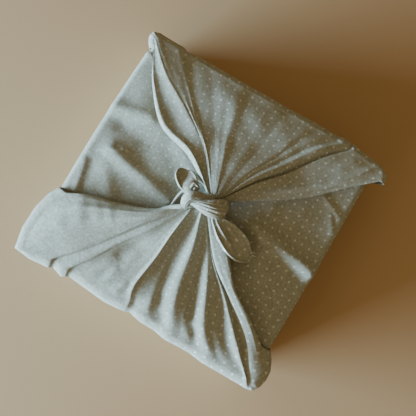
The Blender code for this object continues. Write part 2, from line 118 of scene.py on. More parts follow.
# The back fan in the same columns, from its right hem to its left edge
BACK_FOLDS = np.array([
    (138.5, 108, 107.5, 86, 77, 57, 43, 34, 9.8, 13, 1, 1.2, 1.5, 4, 1),
    (136.5, 116, 106, 89, 75, 61, 42.5, 37.5, 9.7, 13.5, 1.5, 3.2, 3.8, 7.2, 0),
    (129, 121.5, 103, 92, 71.5, 65, 41.5, 42, 9.5, 14, 2, 5.2, 6.6, 9.8, 1),
    (117, 123.5, 92, 94, 64, 66, 37, 43.5, 9.3, 14.2, 1.8, 4.4, 5.4, 8.8, 0),
    (104, 125, 79, 97, 56, 69, 33, 44.5, 9.1, 14.4, 1.8, 4.6, 5.8, 9.4, 0),
    (93.5, 127, 72, 97, 51.5, 68.5, 30.5, 45, 9, 14.5, 1.8, 4.8, 6, 9.8, 3),
    (91.5, 126, 70.6, 98.2, 50.3, 69.8, 29.5, 46, 8.8, 14.6, 0, 1.6, 2.2, 6, 1),
    (89.5, 127, 69, 99.6, 49, 71.4, 28.6, 47, 8.8, 14.7, 1, 4.4, 6.2, 10.4, 2),
    (83, 127.3, 63.5, 102, 45, 74.8, 26, 48.6, 8.6, 14.9, 1.6, 5.6, 7.8, 11.6, 0.6),
    (76, 126.3, 58, 101.5, 40.5, 75.4, 23.5, 49.2, 8.4, 15, 0.6, 3.9, 6.4, 10.3, 0.8),
    (64, 126.3, 50.5, 100.5, 36.5, 75, 21.3, 49, 8.2, 15, 0.9, 4.5, 7.1, 10.9, 0),
    (56, 126.2, 45, 99.8, 33.6, 74.3, 19.6, 48.6, 7.9, 15, 0.8, 4.3, 7, 10.8, 1),
    (48, 126, 40.5, 99.5, 31, 74, 18.3, 48.4, 7.6, 15, 1.1, 4.8, 7.5, 11.2, 0.6),
    (34, 125.5, 29, 99, 23, 73.5, 14.5, 47.6, 7.3, 15, 1, 4.6, 7.2, 11, 0),
    (22, 125, 19, 98.5, 16, 73, 11.5, 47.2, 6.8, 15, 0.8, 4.3, 7, 10.8, 0.8),
    (2, 125, 5.5, 98.5, 7.5, 73, 6, 47, 6.1, 15, 1.1, 4.8, 7.5, 11.2, 0.6),
    (-17, 124.5, -12.5, 98, -8, 73, -2.5, 47.4, 5.4, 15, 0.7, 4.3, 6.9, 10.7, 1),
    (-26, 124.5, -21.5, 98, -15, 73, -6.5, 47.8, 4.9, 15, 1.1, 4.9, 7.5, 11.2, 0.5),
    (-44, 124.3, -34, 98, -23, 73.3, -11, 48, 4.2, 15, 0.6, 4.2, 6.8, 10.8, 0),
    (-62, 124.3, -47.5, 98, -32, 73.5, -15, 48, 3.7, 15, 0.2, 3.5, 6, 10.2, 0.6),
    (-75, 124.3, -58, 97, -40, 73, -19, 48.2, 3.2, 14.7, 0.2, 3.5, 6, 10, 0.4),
    (-88.5, 122.5, -67, 95.5, -45, 71.3, -22, 48.3, 2.8, 14.3, 0.2, 3.5, 6, 9.8, 0.5),
    (-94.5, 124.5, -71.5, 93.5, -49, 70.3, -25, 49, 2.5, 14, 0.9, 4.1, 6.5, 10.2, 2),
    (-110, 124.5, -80, 96, -52, 71.5, -27, 50, 2.2, 13.7, 0.8, 3.8, 6.2, 9.6, 0),
    (-120.5, 124.8, -88, 96.5, -55, 72, -28, 50.3, 2.1, 13.5, 0.9, 3.9, 6.3, 9.3, 0),
    (-127.3, 122.8, -93, 95.5, -57.5, 72.5, -28.8, 50.6, 2, 13.4, 1, 4.3, 5.9, 8.8, 0.5),
    (-128.6, 117.5, -95.5, 93, -58.8, 71.3, -29.6, 50, 1.9, 13, 1.2, 4.8, 6.2, 8.8, 2),
    (-127.6, 114, -99.5, 84.5, -66, 58, -34, 43.5, 1.6, 12.5, 0.8, 2.4, 4.8, 9.4, 0),
    (-126, 111, -101.5, 79.9, -72.7, 50.2, -36, 40, 1.4, 12, 0.9, 3, 6.4, 10.6, 0.8),
    (-123.2, 107.5, -102, 78.5, -74.5, 48, -37.5, 36, 1.3, 11.5, 0.4, 0.9, 1.5, 4.8, 1),
], float)

# Where each fan enters the knot: its lift there, its crown and what is left of its folds
NECK_LIFT, NECK_CROWN, NECK_RELIEF = 9.0, 2.0, 0.3

# The panels: the rim's distance from the middle, where it goes from and to, how far it bows out
# in between and leans out at its far end, and the inner end under the fans
LEFT_PANEL = {"rim": 123.5, "from": 102.5, "to": -50.5, "bow": 1.5, "lean": 5.0,
              "end_x": 2.0, "end_from": 40.0, "end_to": -34.0, "side": -1.0}
RIGHT_PANEL = {"rim": 124.0, "from": -83.5, "to": 98.0, "bow": 0.5, "lean": 0.0,
               "end_x": -6.0, "end_from": -40.0, "end_to": 60.0, "side": 1.0}

# The right panel lies on the left one: where it starts to rise, where it has risen, and how far
OVERLAP_STARTS, OVERLAP_FULL, OVERLAP_LIFT = 17.0, 6.0, 2.3

# Beyond its shown ends each panel goes on under the fans, and a little inwards: how far it goes
# on, how deep, the length of the step down, and the depth's share on the wall
TUCK_WIDTH, TUCK_DEPTH, TUCK_STEP, TUCK_ON_WALL = 14.0, 1.7, 3.0, 0.7

# Wrinkles: a line from one end to the other, its reach to each side and its height, which is
# less than zero for a hollow
PANEL_WRINKLES = np.array([
    # from x, y, to x, y, reach, height
    (-104, 5, -33, -10, 8, 2.4),
    (-106, 29, -80, 25, 8.5, -1.2),
    (-122, 42, -88, 50, 7, 1.8),
    (-114, 0, -95, 11.5, 1.8, 0.7),
    (-95, 11.5, -76, 24.5, 1.8, 0.6),
    (-121, -18, -115, -44, 4.0, 0.7),
    (-115, -16, -109, -42, 4.5, -0.3),
    (-102, -12, -86, -32, 8, 0.9),
    (-48, 42, -25, 28, 10, 1.6),
    (-112, 78, -100, 62, 12, 0.8),
    (50, 9, 124, -1, 9.5, 5.8),
    (62, -6, 120, -12, 6, -1.0),
    (94, 69, 115, 60, 2.4, 0.9),
    (108, 57, 117, 44, 2.2, 0.8),
    (96, -32, 112, -53, 2.0, -0.8),
    (60, -50, 100, -72, 8, 1.0),
    (58, 34, 66, 12, 8, 0.7),
    (84, 44, 92, 22, 8, 0.7),
], float)
FAN_WRINKLES = np.array([
    (-90, -46, -80, -58, 4.0, 0.3),
    (-78, -40, -68, -54, 3.6, 0.35),
    (-104, -50, -96, -66, 6.0, 0.4),
    (-134, -112, -128, -96, 4.0, 0.8),
    (-132, -88, -112, -80, 7.0, 0.8),
    (-126, -122, -116, -116, 3.5, -0.6),
    (-62, -116, -48, -84, 5.0, 0.8),
    (-46, -112, -42, -92, 3.5, 0.7),
    (-34, -120, -28, -100, 4.0, 0.7),
    (-54, -119, -44, -117, 3.0, 0.6),
    (-52, -88, -36, -68, 5.0, 0.3),
    (3, -120, 2, -100, 3.5, 0.8),
    (24, -120, 20, -106, 3.0, -0.6),
    (52, -122, 46, -98, 4.5, 0.8),
    (116, -118, 104, -104, 3.0, -0.6),
    (3, 121, 18, 117, 2.6, 0.8),
    (106, 116, 94, 100, 5.0, 0.4),
], float)

# Unevenness of the cloth: its height and the length of its waves
FAN_UNEVEN, FAN_WAVE = 0.15, 30
PANEL_UNEVEN, PANEL_WAVE, PANEL_SEED = 0.25, 38, 3
WALL_UNEVEN, WALL_WAVE = 0.5, 46
WAVES = 14

# Wrinkles fade out near a surface's ends, over one part in this many of its length
FAN_RIM_FADE, FAN_KNOT_FADE, PANEL_END_FADE = 12, 5, 6

# How far a wall's fall in plan is held back at first, as a share
FALL_EASE = 0.1

# Fineness of the surfaces
FAN_ROWS = 96
BEND_ROWS = 8
WALL_ROWS = 16
GAP_STEP = 2.6
GAP_LEAST, GAP_MOST = 5, 14
PANEL_ROWS, PANEL_COLUMNS = 90, 110
BASE_RAYS, BASE_RINGS = 160, 10
STRAND_SIDES = 112
TAIL_COLUMNS = 81
STEPS_A_PLACE = 10
LEAST_COSINE = 0.45

# The base: its level, how far it goes on past the walls' turn, its innermost ring as a share,
# and the least that the larger part of a ray's direction counts for, which cuts the corners
BASE_Z, BASE_OVERLAP, BASE_INNER, BASE_CUT = 0.05, 0.6, 0.02, 0.72

# The knot: each strand's places, with half its width and half its thickness. A strand's outer
# side faces away from the heart.
HEART = np.array((0.0, 6.5, 74.0))
BAND = np.array([
    # x, y, z, half width, half thickness
    (-15.3, -4.8, 80, 1.9, 2.0),
    (-13.9, -1.4, 85.5, 2.6, 2.6),
    (-9.8, 1.0, 89, 3.7, 3.4),
    (-4.1, 2.2, 90.6, 5.5, 4.6),
    (2.5, 3.7, 91, 7.4, 5.4),
    (8.9, 5.6, 90, 8.9, 5.8),
    (14.1, 7.8, 87.4, 9.4, 5.4),
    (17.2, 9.4, 82.5, 9.0, 4.4),
    (18.6, 9.9, 76.5, 7.5, 3.4),
])
LOBE = np.array([
    (2.0, 10.2, 84, 3.3, 3.0),
    (-4.0, 9.3, 88.5, 4.2, 3.6),
    (-10.5, 7.7, 91, 4.6, 4.2),
    (-15.7, 3.9, 91.5, 5.3, 4.6),
    (-17.2, -1.0, 88.5, 5.0, 4.4),
    (-16.3, -4.9, 83, 4.5, 3.6),
    (-13.0, -6.2, 77, 3.4, 2.6),
])
CORE = np.array([
    (-12.0, 0.0, 78, 4.0, 3.8),
    (-7.0, 4.4, 80, 6.5, 5.8),
    (-1.0, 7.6, 80.5, 7.8, 6.6),
    (4.0, 9.6, 80, 7.6, 6.2),
    (7.0, 11.6, 78, 5.6, 4.8),
    (8.0, 14.0, 75.5, 3.3, 3.0),
])
RUFFLE = np.array([
    (-18.0, 7.5, 86, 1.1, 1.2),
    (-19.1, 12.2, 89.8, 1.4, 1.6),
    (-18.1, 16.0, 90.4, 1.5, 1.6),
    (-14.7, 15.9, 89.6, 1.4, 1.5),
    (-12.3, 12.5, 87, 1.1, 1.2),
])
INNER_RUFFLE = np.array([
    (-14.6, 9.0, 87, 0.9, 1.2),
    (-15.8, 12.2, 89.4, 1.1, 1.3),
    (-14.2, 13.0, 89, 1.0, 1.2),
    (-12.5, 10.8, 86.6, 0.8, 1.0),
])
HEM_END = np.array([
    (-27.7, 25.7, 75, 0.8, 0.6),
    (-24.4, 24.3, 76, 2.3, 1.0),
    (-18.6, 22.8, 77.4, 3.0, 1.1),
    (-12.1, 21.1, 77.6, 2.8, 1.1),
    (-6.0, 18.8, 77.0, 2.0, 1.0),
])
FRAY = np.array([
    (61.8, -17.0, 76.6, 0.5, 0.4),
    (62.6, -14.3, 77.2, 1.0, 0.8),
    (64.2, -13.6, 77.0, 0.9, 0.7),
    (67.0, -13.1, 76.0, 0.5, 0.4),
])

# The tails: each place, half width, and the heights of the rim that faces the light, of the other
# rim and of the belly; then where a ridge lies between -1 and 1 across, and its height
BACK_TAIL = np.array([
    (-14.3, 6.5, 85, 4.2, 0, 0, 1.0, 0, 0),
    (-18.5, 9.3, 87.5, 6.5, 0, 0, 2.6, 0, 0),
    (-22.9, 13.2, 88.5, 9.4, 0.8, 0.5, 1.8, 0.2, 0),
    (-28.2, 16.6, 87.5, 9.3, 2.0, 0.7, -0.4, 0.2, 0),
    (-31.9, 18.8, 86.3, 8.3, 2.2, 0.7, -0.8, 0.2, 0),
    (-34.1, 21.3, 85.2, 6.0, 2.0, 0.6, -0.6, 0.2, 0),
    (-34.9, 22.9, 84.6, 3.2, 1.4, 0.4, -0.4, 0.2, 0),
    (-35.2, 23.6, 84.4, 0.9, 0, 0, 0, 0.2, 0),
])
FRONT_TAIL = np.array([
    (13.6, 2.4, 84, 4.3, 0.5, 0, 0.5, 0, 0),
    (16.3, -1.4, 84.5, 5.4, 1.2, 0.3, 0, 0.1, 1.0),
    (20.4, -3.8, 84.6, 7.1, 2.0, 0.5, 0, 0.2, 2.2),
    (27.5, -6.7, 84, 10.2, 2.4, 0.6, -0.3, 0.25, 2.8),
    (36.4, -10.2, 82.5, 12.1, 2.6, 0.7, -0.5, 0.32, 2.6),
    (46.3, -14.3, 80, 12.6, 2.6, 0.7, -0.6, 0.45, 1.6),
    (54.4, -16.7, 77.8, 10.2, 2.2, 0.6, -0.5, 0.5, 0.6),
    (61.2, -16.8, 76, 5.7, 1.4, 0.5, -0.2, 0.5, 0),
    (64.6, -15.9, 75.2, 2.1, 0.5, 0.2, 0, 0.5, 0),
    (65.9, -15.4, 75, 0.8, 0, 0, 0, 0.5, 0),
])
HEM_STRAND = np.array([
    (-21.3, 5.6, 85, 1.2, 1.2),
    (-24.6, 4.8, 84, 1.2, 1.1),
    (-26.2, -1.0, 81.5, 1.2, 1.1),
    (-27.0, -7.4, 78.6, 1.2, 1.1),
    (-27.5, -14.2, 75.8, 1.1, 1.0),
    (-27.9, -19.4, 74, 0.9, 0.8),
])
HEM_ROPE = np.array([
    (-34.5, -20.0, 77.4, 0.9, 0.8),
    (-27.5, -14.6, 81.2, 1.8, 1.5),
    (-21.9, -10.4, 83.6, 2.3, 1.9),
    (-16.8, -6.9, 84.8, 2.5, 2.1),
    (-11.8, -3.4, 85.0, 2.4, 2.0),
    (-7.2, -0.1, 83.0, 1.9, 1.8),
])

# Creases along the strands: angle round the strand, width in radians and depth as a share
BAND_CREASES = (
    (0.35, 0.08, 0.12), (0.8, 0.07, 0.12), (1.2, 0.06, 0.12), (1.65, 0.07, 0.1),
    (2.1, 0.06, 0.1), (2.55, 0.07, 0.08),
)
LOBE_CREASES = (
    (0.5, 0.1, 0.14), (1.0, 0.08, 0.14), (1.5, 0.08, 0.12), (2.0, 0.1, 0.12), (2.6, 0.1, 0.1),
)
CORE_CREASES = ((0.6, 0.15, 0.2), (1.3, 0.12, 0.2), (2.0, 0.15, 0.2), (2.6, 0.15, 0.15))
ROPE_CREASES = ((0.6, 0.3, 0.3), (2.6, 0.3, 0.3), (4.6, 0.3, 0.3))

# A crease's share at a strand's start and its growth along the strand; how fast a strand opens
# from its ends, and its least width there
CREASE_START, CREASE_GROWTH, END_GROWTH, END_LEAST = 0.3, 6, 14, 0.02

# Sines that make a strand's oval uneven: height, waves round it and turn along it
OVAL_WAVES = ((0.03, 3, 9), (0.02, 7, -14))

# The cloth in a strand or tail, for the dots: its length, and a strand's radius
STRAND_LENGTH, STRAND_RADIUS = 60, 6

# Each strand: its places, its creases and how far they turn from end to end
STRANDS = {
    "knot_core": (CORE, CORE_CREASES, 0.6),
    "knot_band": (BAND, BAND_CREASES, 0.5),
    "knot_lobe": (LOBE, LOBE_CREASES, -0.4),
    "tail_ruffle": (RUFFLE, (), 0.0),
    "tail_inner_ruffle": (INNER_RUFFLE, (), 0.0),
    "tail_fray": (FRAY, (), 0.0),
    "hem_end": (HEM_END, (), 0.0),
    "hem_strand": (HEM_STRAND, (), 0.0),
    "hem_rope": (HEM_ROPE, ROPE_CREASES, 3.4),
}

# Across a tail from -1 to 1: the place and reach of the rim that faces the light and of the
# other rim, and the ridge's reach towards the light and behind
LIT_RIM, LIT_RIM_REACH = 0.84, 0.12
DIM_RIM, DIM_RIM_REACH = -0.9, 0.08
RIDGE_LIT_REACH, RIDGE_DIM_REACH = 0.34, 0.1

# The dots, in millimetres: their pitch along and across, their radius with its soft edge, and
# how far the printing wanders
DOT_PITCH = (8.6, 7.4)
DOT_RADIUS, DOT_OUTER_EDGE, DOT_INNER_EDGE = 1.1, 0.25, 0.35
DOT_WANDER = 3.0

# On a fan the dots are spread round the knot: the power, the radius where sizes are true, the
# knot's y, and the share of the folds' relief that is added
FAN_SPREAD, SPREAD_RADIUS, KNOT_Y, RELIEF_SHARE = 0.62, 100, 10, 0.8

# The print is painted faint on the lit left, a painted highlight that washes it out, and full on
# the
# right: the direction in x and y, where it fades and is full in metres from the middle, and its
# least and full strength
PRINT_WAY = (0.86, 0.51)
PRINT_FADES, PRINT_FULL, PRINT_FAINTEST, PRINT_STRONGEST = -0.1, 0.03, 0.2, 0.85

# Colours of the materials, as linear red, green and blue
COTTON_DARK, COTTON_PALE = (0.355, 0.34, 0.25), (0.53, 0.515, 0.41)
DOT_COLOR = (0.8, 0.79, 0.7)
CARD_DARK, CARD_PALE = (0.46, 0.36, 0.25), (0.56, 0.45, 0.33)
FLOOR_COLOR = (0.53, 0.32, 0.155)

# The width of a thread of the weave, and the strength of its lint and of the cloth's flecks
THREAD, LINT, FLECKS = 0.55, 1.1, 3.4

# Lights: metres to the image's right, up the image and above the floor, then size, watts, colour
LIGHTS = {
    "window": (-2.16, -0.4, 0.3, (1.8, 0.32), 405.0, (0.45, 0.72, 1.0)),
    "front fill": (-0.95, -0.85, 0.75, (0.6, 0.6), 3.2, (1.0, 0.9, 0.7)),
}
LIGHTS_AIM = (0, 0, 0.07)
ROOM_COLOR, ROOM_STRENGTH = (1.0, 0.8, 0.44), 0.3
FLOOR_REACH = 4.0


def smooth(value):
    """Rises from 0 to 1 with level ends: 3v^2 - 2v^3."""
    value = np.clip(value, 0.0, 1.0)
    return value * value * (3.0 - 2.0 * value)


def spline_weights(t, count):
    """Weights of equally spaced places for a smooth curve through them, at each t from 0 to 1.

    The slope at each place is half the difference of its neighbours, and each stretch is the
    cubic with those slopes.
    """
    place = np.clip(t, 0, 1) * (count - 1)
    low = np.clip(place.astype(int), 0, count - 2)
    part = place - low
    slope = np.zeros((count, count))
    inner = np.arange(1, count - 1)
    slope[inner, inner + 1], slope[inner, inner - 1] = 0.5, -0.5
    slope[0, :2], slope[-1, -2:] = (-1, 1), (-1, 1)
    ones = np.eye(count)
    return (
        ones[low] * ((1 + 2 * part) * (1 - part) ** 2)[:, None]
        + slope[low] * (part * (1 - part) ** 2)[:, None]
        + ones[low + 1] * (part**2 * (3 - 2 * part))[:, None]
        + slope[low + 1] * (part**2 * (part - 1))[:, None]
    )


def line_bumps(x, y, wrinkles):
    """Sum of soft bumps: each is its height times exp(-(distance to its line / reach)^2)."""
    total = np.zeros_like(x)
    for x0, y0, x1, y1, reach, height in wrinkles:
        run_x, run_y = x1 - x0, y1 - y0
        along = np.clip(((x - x0) * run_x + (y - y0) * run_y) / (run_x**2 + run_y**2), 0, 1)
        away = np.hypot(x - x0 - along * run_x, y - y0 - along * run_y)
        total += height * np.exp(-((away / reach) ** 2))
    return total


def unevenness(x, y, size, seed):
    """Soft waves in all directions: a mean of sines of seeded directions, lengths and starts."""
    draw = np.random.default_rng(seed)
    total = np.zeros_like(x)
    for _ in range(WAVES):
        angle = draw.uniform(0, math.pi)
        length = size * draw.uniform(0.6, 1.8)
        start = draw.uniform(0, 2 * math.pi)
        total += np.sin((x * math.cos(angle) + y * math.sin(angle)) * 2 * math.pi / length + start)
    return total / math.sqrt(WAVES)


def wall_foot(rim):
    """The nearest place to each rim point on the wall's rounded square, and its way out.

    The square less its corner radius holds the nearest place, and the radius is added outwards.
    """
    inner = np.clip(rim, -(WALL - BASE_CORNER), WALL - BASE_CORNER)
    out = rim - inner
    out /= np.linalg.norm(out, axis=1, keepdims=True)
    return inner + BASE_CORNER * out, out


def rise_between(part, first, last):
    """Goes from 0 to 1 as part does, by the cubic whose end slopes are first and last."""
    leaving = part * (1 - part) ** 2
    arriving = part**2 * (part - 1)
    return first * leaving + part**2 * (3 - 2 * part) + last * arriving


def across_folds(folds):
    """Fold rows with rows between them, straight in plan and rounded or crisp in height.

    The number of rows between two folds is the width between them over a step, within limits.
    """
    rows = []
    for this, after in zip(folds[:-1], folds[1:]):
        width = np.hypot(*(after[:2] - this[:2]))
        steps = int(np.clip(width / GAP_STEP, GAP_LEAST, GAP_MOST))
        part = np.arange(steps)[:, None] / steps
        row = this + (after - this) * part
        rise = rise_between(part, this[CRISPNESS], after[CRISPNESS])
        row[:, LIFTS] = this[LIFTS] + (after - this)[LIFTS] * rise
        rows.append(row)
    rows.append(folds[-1][None])
    return np.concatenate(rows)


def foot_rows(rim, top, seed):
    """The wall below a rim, from its top down to the base and a quarter circle under it.

    The height falls evenly, while the plan goes from the rim to the wall's foot with level ends.
    Seeded waves move it out and in, by a half sine of the fall.
    """
    foot, out = wall_foot(rim)
    fall = np.linspace(0, 1, WALL_ROWS + 1)[1:, None, None]
    plan = rim + (foot - rim) * smooth(fall * (1 - FALL_EASE) + FALL_EASE * fall**2)
    height = top[:, None] + (BASE_BEND - top[:, None]) * fall
    height = np.broadcast_to(height, plan.shape[:2] + (1,))
    sag = unevenness(plan[..., 0] + plan[..., 1], height[..., 0], WALL_WAVE, seed)
    plan = plan + (WALL_UNEVEN * np.sin(np.pi * fall[..., 0]) * sag)[..., None] * out
    wall = np.concatenate([plan, height], axis=-1)
    turn = np.linspace(0, np.pi / 2, BEND_ROWS + 1)[1:, None, None]
    under_plan = foot - BASE_BEND * (1 - np.cos(turn)) * out
    under_height = np.broadcast_to(BASE_BEND * (1 - np.sin(turn)), under_plan.shape[:2] + (1,))
    under = np.concatenate([under_plan, under_height], axis=-1)
    out3 = np.column_stack([out, np.zeros(len(out))])
    down = np.array((0, 0, -1.0))
    ways = np.concatenate([
        np.broadcast_to(out3, wall.shape),
        np.cos(turn) * out3 + np.sin(turn) * down,
    ])
    return np.concatenate([wall, under]), ways


def bend_rows(rim, height, radius):
    """The turn over the box's edge, a quarter circle from the level top to the wall's top."""
    _, out = wall_foot(rim)
    turn = np.linspace(np.pi / 2, 0, BEND_ROWS + 1)[:, None, None]
    plan = rim - radius * (1 - np.cos(turn)) * out
    z = height[:, None] - radius * (1 - np.sin(turn))
    out3 = np.column_stack([out, np.zeros(len(out))])
    ways = np.cos(turn) * out3 + np.sin(turn) * np.array((0, 0, 1.0))
    return np.concatenate([plan, np.broadcast_to(z, plan.shape[:2] + (1,))], axis=-1), ways


def fan_grid(folds, radius, seed):
    """A pleated fan's outer face from the knot over the rim and down its wall to the base.

    Each column is a smooth curve through its five places, with the wrinkles and unevenness
    added. Its height is the larger of that and the panel's height with a small gap.
    """
    columns = across_folds(folds)
    rim = columns[:, 0:2]
    bend, bend_ways = bend_rows(rim, FAN_Z + SHEET / 2 + columns[:, 10], radius)
    share = (columns[:, 8] - columns[:, 8].min()) / np.ptp(columns[:, 8])
    knot_lift = NECK_LIFT + NECK_CROWN * np.sin(np.pi * share)
    knot_lift += NECK_RELIEF * (columns[:, 13] - columns[:, 13].mean())
    start = np.column_stack([bend[0, :, :2], columns[:, 10]])
    quarter = columns[:, [2, 3, 11]]
    half = columns[:, [4, 5, 12]]
    last = columns[:, [6, 7, 13]]
    end = np.column_stack([columns[:, 8:10], knot_lift])
    places = np.array([start, quarter, half, last, end])
    t = np.linspace(1, 0, FAN_ROWS + 1)[:-1]
    rows = np.einsum("rk,kcx->rcx", spline_weights(t, len(places)), places)
    x, y = rows[..., 0], rows[..., 1]
    fade = smooth(t * FAN_RIM_FADE)[:, None] * smooth((1 - t) * FAN_KNOT_FADE)[:, None]
    uneven = FAN_UNEVEN * unevenness(x, y, FAN_WAVE, seed)
    rows[..., 2] += fade * (line_bumps(x, y, FAN_WRINKLES) + uneven)
    rows[..., 2] = np.maximum(rows[..., 2], panel_lift(x, y) + LEAST_OVER_PANEL - FAN_RISE)
    rows[..., 2] += FAN_Z + SHEET / 2
    wall, wall_ways = foot_rows(rim, bend[-1, :, 2], seed + 1)
    up = np.broadcast_to(np.array((0, 0, 1.0)), rows.shape)
    grid = np.concatenate([rows, bend, wall])
    ways = np.concatenate([up, bend_ways, wall_ways])
    thickness = np.full(grid.shape[:2], CLOTH)
    thickness[:FAN_ROWS] *= steepness(rows)
    return grid, ways, thickness


def steepness(grid):
    """One over the cosine of the slope at each place of a grid, held to a least cosine."""
    normal = np.cross(np.gradient(grid, axis=0), np.gradient(grid, axis=1))
    cosine = np.abs(normal[..., 2]) / np.linalg.norm(normal, axis=-1)
    return 1 / np.maximum(cosine, LEAST_COSINE)


def panel_lift(x, y):
    """Height of a panel's face over its level: the wrinkles' bumps and a slight unevenness."""
    uneven = PANEL_UNEVEN * unevenness(x, y, PANEL_WAVE, PANEL_SEED)
    return line_bumps(x, y, PANEL_WRINKLES) + uneven


def panel_grid(panel, seed):
    """A smooth panel's outer face from its inner end over the rim and down its wall.

    Straight lines join the rim, a line with a half sine bow and an even lean, to the inner end.
    The panel's lift is added to their level.
    """
    length = panel["to"] - panel["from"]
    more = TUCK_WIDTH / abs(length)
    part = np.linspace(-more, 1 + more, PANEL_COLUMNS)
    y = panel["from"] + length * part
    hidden = np.maximum(-part, part - 1) * abs(length)
    tuck = TUCK_DEPTH * smooth(hidden / TUCK_STEP)
    shown = np.clip(part, 0, 1)
    bulge = panel["bow"] * np.sin(np.pi * shown) + panel["lean"] * shown
    x = panel["side"] * (panel["rim"] + bulge - tuck)
    rim = np.column_stack([x, y])
    bend, bend_ways = bend_rows(rim, PANEL_Z - tuck, RIM_BEND)
    bend[..., 2] += panel_lift(bend[0, :, 0], bend[0, :, 1])
    end_y = panel["end_from"] + (panel["end_to"] - panel["end_from"]) * part
    end = np.column_stack([np.full(len(rim), panel["end_x"]), end_y])
    t = np.linspace(1, 0, PANEL_ROWS + 1)[:-1, None, None]
    plan = bend[0, :, :2] + (end - bend[0, :, :2]) * t
    lift = panel_lift(plan[..., 0], plan[..., 1]) * smooth((1 - t[..., 0]) * PANEL_END_FADE)
    if panel["side"] > 0:
        risen = (OVERLAP_STARTS - plan[..., 0]) / (OVERLAP_STARTS - OVERLAP_FULL)
        lift += OVERLAP_LIFT * smooth(risen)
    rows = np.dstack([plan, PANEL_Z + lift - tuck])
    wall, wall_ways = foot_rows(rim, bend[-1, :, 2], seed)
    wall[..., :2] -= TUCK_ON_WALL * tuck[:, None] * wall_ways[0, :, :2]
    up = np.broadcast_to(np.array((0, 0, 1.0)), rows.shape)
    grid = np.concatenate([rows, bend, wall])
    ways = np.concatenate([up, bend_ways, wall_ways])
    return grid, ways, np.full(grid.shape[:2], CLOTH)


def grid_quads(rows, columns, closed=False):
    """Four-sided faces of a grid of point numbers, joined round if it is closed."""
    index = np.arange(rows * columns).reshape(rows, columns)
    right = np.roll(index, -1, axis=1)
    if not closed:
        index, right = index[:, :-1], right[:, :-1]
    return np.stack([index[:-1], right[:-1], right[1:], index[1:]], axis=-1).reshape(-1, 4)


def new_piece(name, points, faces, material, uv):
    """A smooth mesh object from points in millimetres, with the dots' place of each point."""
    mesh = bpy.data.meshes.new(name)
    mesh.from_pydata((points * MM).tolist(), [], faces)
    layer = mesh.uv_layers.new(name="cloth")
    loops = np.empty(len(mesh.loops), np.int32)
    mesh.loops.foreach_get("vertex_index", loops)
    layer.data.foreach_set("uv", np.ascontiguousarray(uv[loops], np.float32).ravel())
    mesh.shade_smooth()
    mesh.materials.append(material)
    mesh.update()
    obj = bpy.data.objects.new(name, mesh)
    bpy.context.scene.collection.objects.link(obj)
    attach(obj, "root")
    return obj


def sheet_piece(name, grid, ways, thickness, uv, material):
    """A cloth of two faces from its outer face, closed by a strip along its edge."""
    rows, columns = grid.shape[:2]
    inner = grid - ways * thickness[..., None]
    points = np.concatenate([grid.reshape(-1, 3), inner.reshape(-1, 3)])
    total = rows * columns
    index = np.arange(total).reshape(rows, columns)
    edge = np.concatenate([index[0, :-1], index[:-1, -1], index[-1, :0:-1], index[:0:-1, 0]])
    quads = grid_quads(rows, columns)
    a, b, c = (grid.reshape(-1, 3)[quads[:, k]] for k in (0, 1, 3))
    facing = (np.cross(b - a, c - a) * ways.reshape(-1, 3)[quads[:, 0]]).sum()
    if facing < 0:
        quads, edge = quads[:, ::-1], edge[::-1]
    after = np.roll(edge, -1)
    strip = np.column_stack([after, edge, edge + total, after + total])
    faces = quads.tolist() + (quads[:, ::-1] + total).tolist() + strip.tolist()
    return new_piece(name, points, faces, material, np.concatenate([uv, uv]))


def fan_uv(grid, turn):
    """Dot places on a fan: the plan turned to the knot and spread as a power of its radius.

    The power keeps small shapes as they are, while lines bend along the pleats. The drop of the
    wall is added to its plan, outwards. The cloth that rises and falls across a row is added too:
    the row's length in space less its length in plan.
    """
    _, out = wall_foot(grid[FAN_ROWS + BEND_ROWS, :, :2])
    drop = FAN_Z - np.minimum(grid[..., 2], FAN_Z)
    x, y = grid[..., 0] + drop * out[:, 0], grid[..., 1] + drop * out[:, 1]
    radius = np.hypot(x, y - KNOT_Y)
    angle = np.arctan2(x, -turn * (y - KNOT_Y))
    spread = radius ** FAN_SPREAD * SPREAD_RADIUS ** (1 - FAN_SPREAD) / FAN_SPREAD
    step = np.diff(grid, axis=1)
    more = np.linalg.norm(step, axis=-1) - np.linalg.norm(step[..., :2], axis=-1)
    more = np.concatenate([np.zeros_like(more[:, :1]), more.cumsum(axis=1)], axis=1)
    more -= more[:, more.shape[1] // 2, None]
    return np.stack([
        spread * np.sin(angle * FAN_SPREAD) + RELIEF_SHARE * turn * more,
        spread * np.cos(angle * FAN_SPREAD),
    ], axis=-1).reshape(-1, 2)


def panel_uv(grid):
    """Dot places on a panel: its plan, with the drop of its wall added outwards."""
    x, y, z = grid[..., 0], grid[..., 1], grid[..., 2]
    return np.stack([x + np.sign(x) * (PANEL_Z - z), y], axis=-1).reshape(-1, 2)


